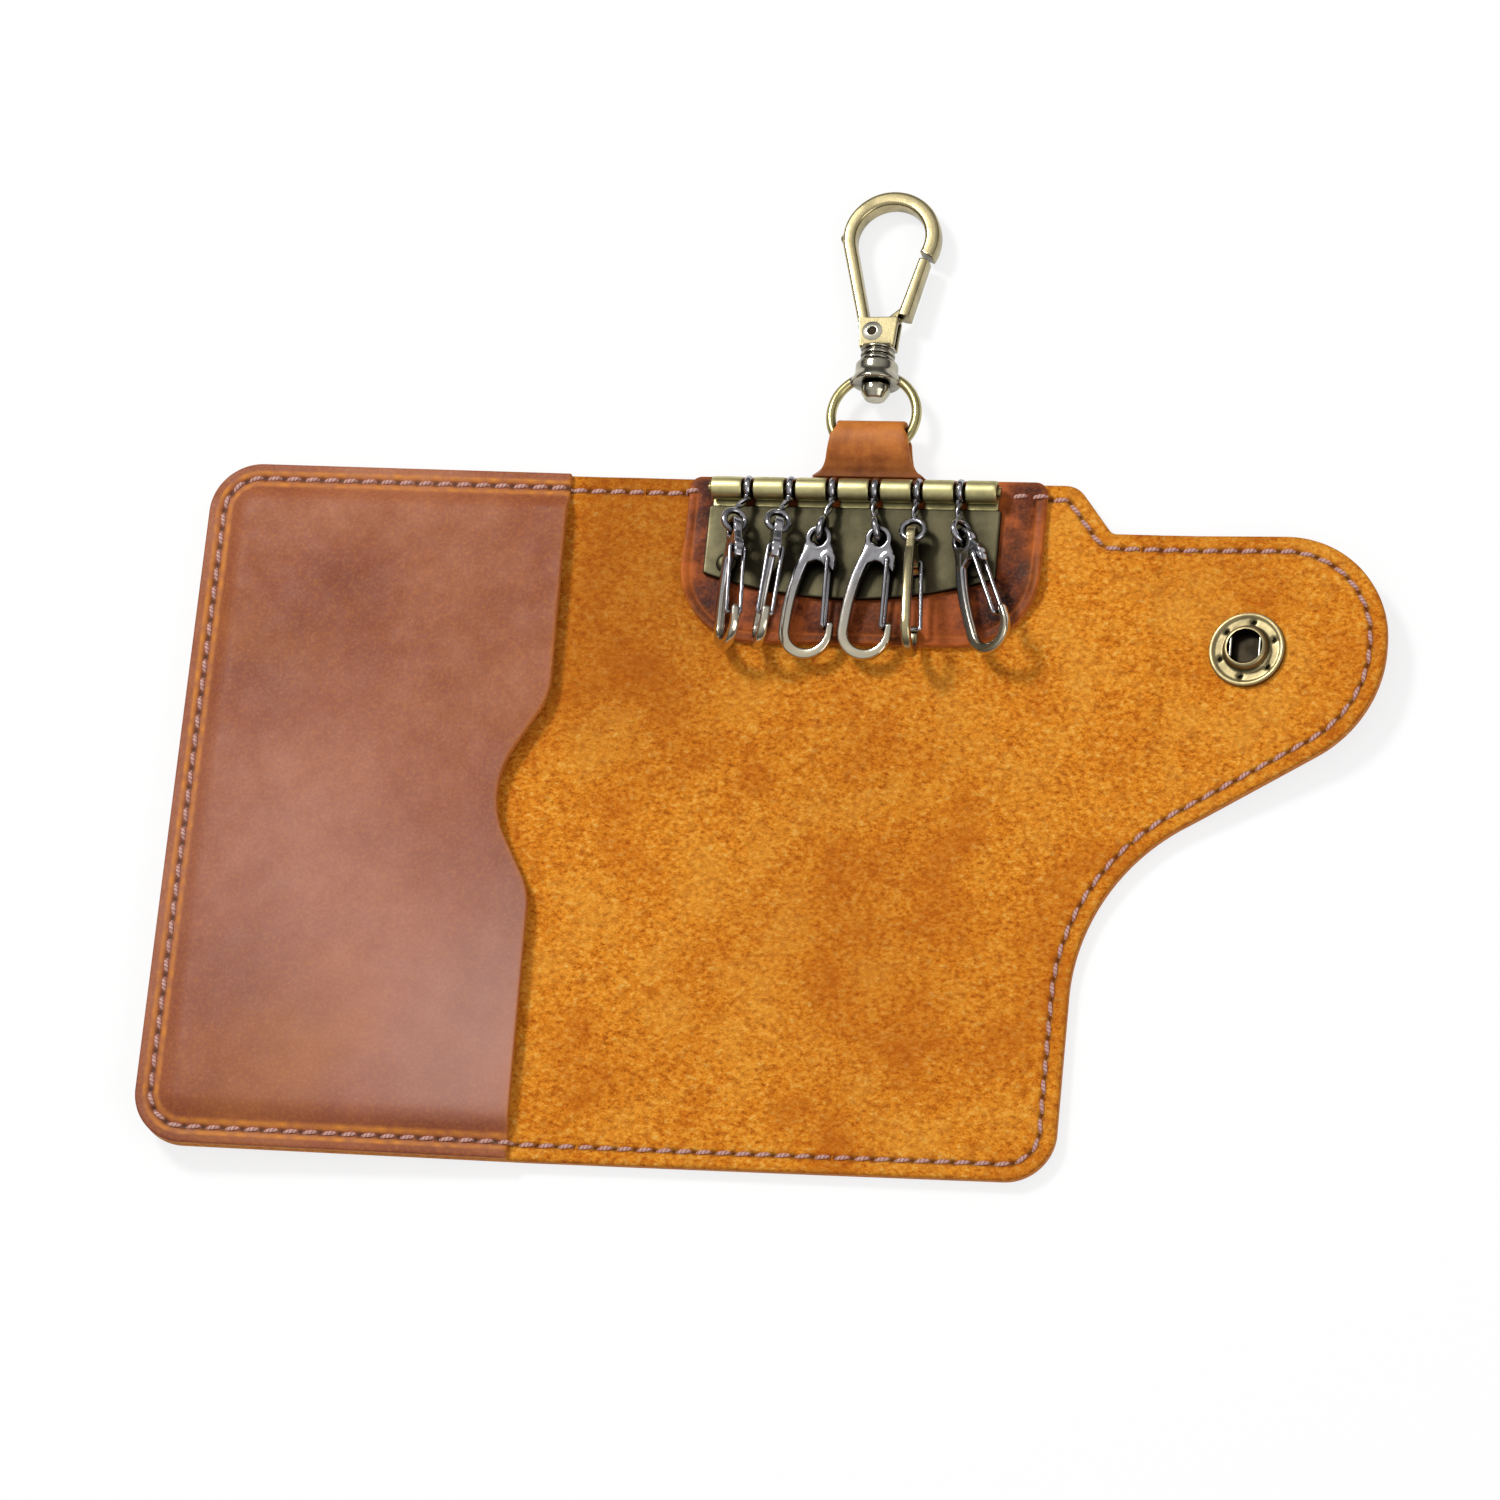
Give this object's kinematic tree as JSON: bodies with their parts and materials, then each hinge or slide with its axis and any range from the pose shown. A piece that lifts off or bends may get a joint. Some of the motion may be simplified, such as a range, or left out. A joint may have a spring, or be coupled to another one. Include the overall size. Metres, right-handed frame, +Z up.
{
  "type": "key case",
  "caption": "Leather key case shown open: sewn card pocket, row of swinging snap hooks, snap flap that wraps over, and a swivel clasp on a strap.",
  "frame": {"origin": "on the resting face of the centre panel, below the middle of the hook row and half way up the case", "axes": "+Z up out of the suede side, +X along the hook row towards the flap, +Y towards the clasp"},
  "size_m": [0.1971, 0.167, 0.0134],
  "materials": {
    "suede_leather": "tan leather with the napped suede side inside and raw orange edges",
    "pocket_leather": "waxed brown pull-up leather, smooth grain with soft clouding",
    "patch_leather": "waxed dark red-brown leather",
    "antique_brass": "antique brass plating, satin, darker in the recesses",
    "gunmetal": "dark polished gunmetal plating",
    "spring_steel": "bare spring steel",
    "thread": "waxed brown sewing thread"
  },
  "bodies": {
    "case": {"centre_panel": "suede_leather", "hook_patch": "patch_leather", "key_plate": "antique_brass", "hinge_pin": "antique_brass", "plate_rivets": "gunmetal", "seam_centre": "thread"},
    "left_spine": {"left_spine": "suede_leather", "seam_left_spine": "thread"},
    "card_panel": {"card_panel": "suede_leather", "card_pocket": "pocket_leather", "snap_stud": "antique_brass", "stud_eyelet": "antique_brass", "seam_card_panel": "thread"},
    "flap_spine": {"flap_spine": "suede_leather", "seam_flap_spine": "thread"},
    "flap": {"flap": "suede_leather", "snap_cap": "antique_brass", "snap_socket": "antique_brass", "snap_spring": "spring_steel", "seam_flap": "thread"},
    "strap": {"strap_loop": "patch_leather"},
    "ring": {"swivel_ring": "antique_brass"},
    "clasp": {"clasp_body": "antique_brass", "clasp_rivet": "antique_brass", "clasp_spring": "spring_steel"},
    "clasp_gate": {"clasp_gate": "antique_brass"},
    "link_1": {"hook_link_1": "gunmetal"},
    "hook_1": {"hook_body_1": "gunmetal"},
    "gate_1": {"hook_gate_1": "gunmetal"},
    "link_2": {"hook_link_2": "gunmetal"},
    "hook_2": {"hook_body_2": "gunmetal"},
    "gate_2": {"hook_gate_2": "gunmetal"},
    "link_3": {"hook_link_3": "gunmetal"},
    "hook_3": {"hook_body_3": "gunmetal"},
    "gate_3": {"hook_gate_3": "gunmetal"},
    "link_4": {"hook_link_4": "gunmetal"},
    "hook_4": {"hook_body_4": "gunmetal"},
    "gate_4": {"hook_gate_4": "gunmetal"},
    "link_5": {"hook_link_5": "gunmetal"},
    "hook_5": {"hook_body_5": "gunmetal"},
    "gate_5": {"hook_gate_5": "gunmetal"},
    "link_6": {"hook_link_6": "gunmetal"},
    "hook_6": {"hook_body_6": "gunmetal"},
    "gate_6": {"hook_gate_6": "gunmetal"}
  },
  "joints": [
    {"name": "left_fold_outer", "type": "hinge", "parent": "case", "child": "left_spine", "pos_m": [-0.0287, 0, 0.0018], "axis": [0, -1, 0], "range_deg": [-88.94, 0]},
    {"name": "left_fold_inner", "type": "hinge", "parent": "left_spine", "child": "card_panel", "pos_m": [-0.0427, 0, 0.00206], "axis": [0, -1, 0], "range_deg": [-88.94, 0]},
    {"name": "flap_fold_outer", "type": "hinge", "parent": "case", "child": "flap_spine", "pos_m": [0.0414, -0.0278, 0.0018], "axis": [-0.048, 0.9988, 0], "range_deg": [-87.4, 0]},
    {"name": "flap_fold_inner", "type": "hinge", "parent": "flap_spine", "child": "flap", "pos_m": [0.06016, -0.02689, 0.00265], "axis": [-0.048, 0.9988, 0], "range_deg": [-87.4, 0]},
    {"name": "link_1_swing", "type": "hinge", "parent": "case", "child": "link_1", "pos_m": [-0.01758, 0.0554, 0.00525], "axis": [-1, 0, 0], "range_deg": [0, 100]},
    {"name": "link_2_swing", "type": "hinge", "parent": "case", "child": "link_2", "pos_m": [-0.01055, 0.0554, 0.00525], "axis": [-1, 0, 0], "range_deg": [0, 100]},
    {"name": "link_3_swing", "type": "hinge", "parent": "case", "child": "link_3", "pos_m": [-0.00351, 0.0554, 0.00525], "axis": [-1, 0, 0], "range_deg": [0, 100]},
    {"name": "link_4_swing", "type": "hinge", "parent": "case", "child": "link_4", "pos_m": [0.00351, 0.0554, 0.00525], "axis": [-1, 0, 0], "range_deg": [0, 100]},
    {"name": "link_5_swing", "type": "hinge", "parent": "case", "child": "link_5", "pos_m": [0.01055, 0.0554, 0.00525], "axis": [-1, 0, 0], "range_deg": [0, 100]},
    {"name": "link_6_swing", "type": "hinge", "parent": "case", "child": "link_6", "pos_m": [0.01758, 0.0554, 0.00525], "axis": [-1, 0, 0], "range_deg": [0, 100]},
    {"name": "hook_1_swing", "type": "hinge", "parent": "link_1", "child": "hook_1", "pos_m": [-0.01876, 0.04878, 0.00804], "axis": [-0.5302, 0.0324, -0.8472], "range_deg": [0, 40]},
    {"name": "hook_2_swing", "type": "hinge", "parent": "link_2", "child": "hook_2", "pos_m": [-0.01134, 0.04697, 0.00891], "axis": [-0.9257, 0.058, 0.3737], "range_deg": [0, 25]},
    {"name": "hook_3_swing", "type": "hinge", "parent": "link_3", "child": "hook_3", "pos_m": [-0.00445, 0.04812, 0.00669], "axis": [-0.9983, 0.0576, 0], "range_deg": [0, 60]},
    {"name": "hook_4_swing", "type": "hinge", "parent": "link_4", "child": "hook_4", "pos_m": [0.00467, 0.04817, 0.0067], "axis": [-0.9973, 0.0732, 0], "range_deg": [0, 60]},
    {"name": "hook_5_swing", "type": "hinge", "parent": "link_5", "child": "hook_5", "pos_m": [0.01079, 0.04629, 0.00753], "axis": [-0.9976, -0.0698, 0], "range_deg": [0, 45]},
    {"name": "hook_6_swing", "type": "hinge", "parent": "link_6", "child": "hook_6", "pos_m": [0.01909, 0.04637, 0.00671], "axis": [-0.5525, -0.1598, 0.818], "range_deg": [0, 45]},
    {"name": "gate_1_press", "type": "hinge", "parent": "hook_1", "child": "gate_1", "pos_m": [-0.01745, 0.04375, 0.00984], "axis": [0.8478, 0.0305, -0.5294], "range_deg": [0, 18], "stiffness_Nm_per_rad": 0.004},
    {"name": "gate_2_press", "type": "hinge", "parent": "hook_2", "child": "gate_2", "pos_m": [-0.0109, 0.04359, 0.01054], "axis": [0.9257, -0.058, -0.3737], "range_deg": [0, 18], "stiffness_Nm_per_rad": 0.004},
    {"name": "gate_3_press", "type": "hinge", "parent": "hook_3", "child": "gate_3", "pos_m": [-0.00299, 0.04307, 0.00626], "axis": [0.005, 0.087, -0.9962], "range_deg": [0, 18], "stiffness_Nm_per_rad": 0.004},
    {"name": "gate_4_press", "type": "hinge", "parent": "hook_4", "child": "gate_4", "pos_m": [0.00687, 0.0431, 0.00627], "axis": [0.0064, 0.0869, -0.9962], "range_deg": [0, 18], "stiffness_Nm_per_rad": 0.004},
    {"name": "gate_5_press", "type": "hinge", "parent": "hook_5", "child": "gate_5", "pos_m": [0.01102, 0.04303, 0.00564], "axis": [-0.9976, -0.0698, 0], "range_deg": [0, 18], "stiffness_Nm_per_rad": 0.004},
    {"name": "gate_6_press", "type": "hinge", "parent": "hook_6", "child": "gate_6", "pos_m": [0.02172, 0.044, 0.00802], "axis": [0.5525, 0.1598, -0.818], "range_deg": [0, 18], "stiffness_Nm_per_rad": 0.004},
    {"name": "strap_bend", "type": "hinge", "parent": "case", "child": "strap", "pos_m": [0, 0.0582, 0.0031], "axis": [-1, 0, 0], "range_deg": [-40, 0]},
    {"name": "ring_swing", "type": "hinge", "parent": "strap", "child": "ring", "pos_m": [0.0016, 0.0691, 0.00378], "axis": [-0.0016, 0.0453, 0.999], "range_deg": [-35, 35]},
    {"name": "clasp_swivel", "type": "hinge", "parent": "ring", "child": "clasp", "pos_m": [0.00136, 0.07609, 0.00346], "axis": [-0.0349, 0.9984, -0.0454], "continuous": true},
    {"name": "clasp_gate_press", "type": "hinge", "parent": "clasp", "child": "clasp_gate", "pos_m": [0.0002, 0.08335, 0.00313], "axis": [-0.0016, 0.0453, 0.999], "range_deg": [0, 20], "stiffness_Nm_per_rad": 0.01}
  ],
  "couplings": [
    {"joint": "left_fold_inner", "follows": "left_fold_outer", "ratio": 1},
    {"joint": "flap_fold_inner", "follows": "flap_fold_outer", "ratio": 1}
  ]
}
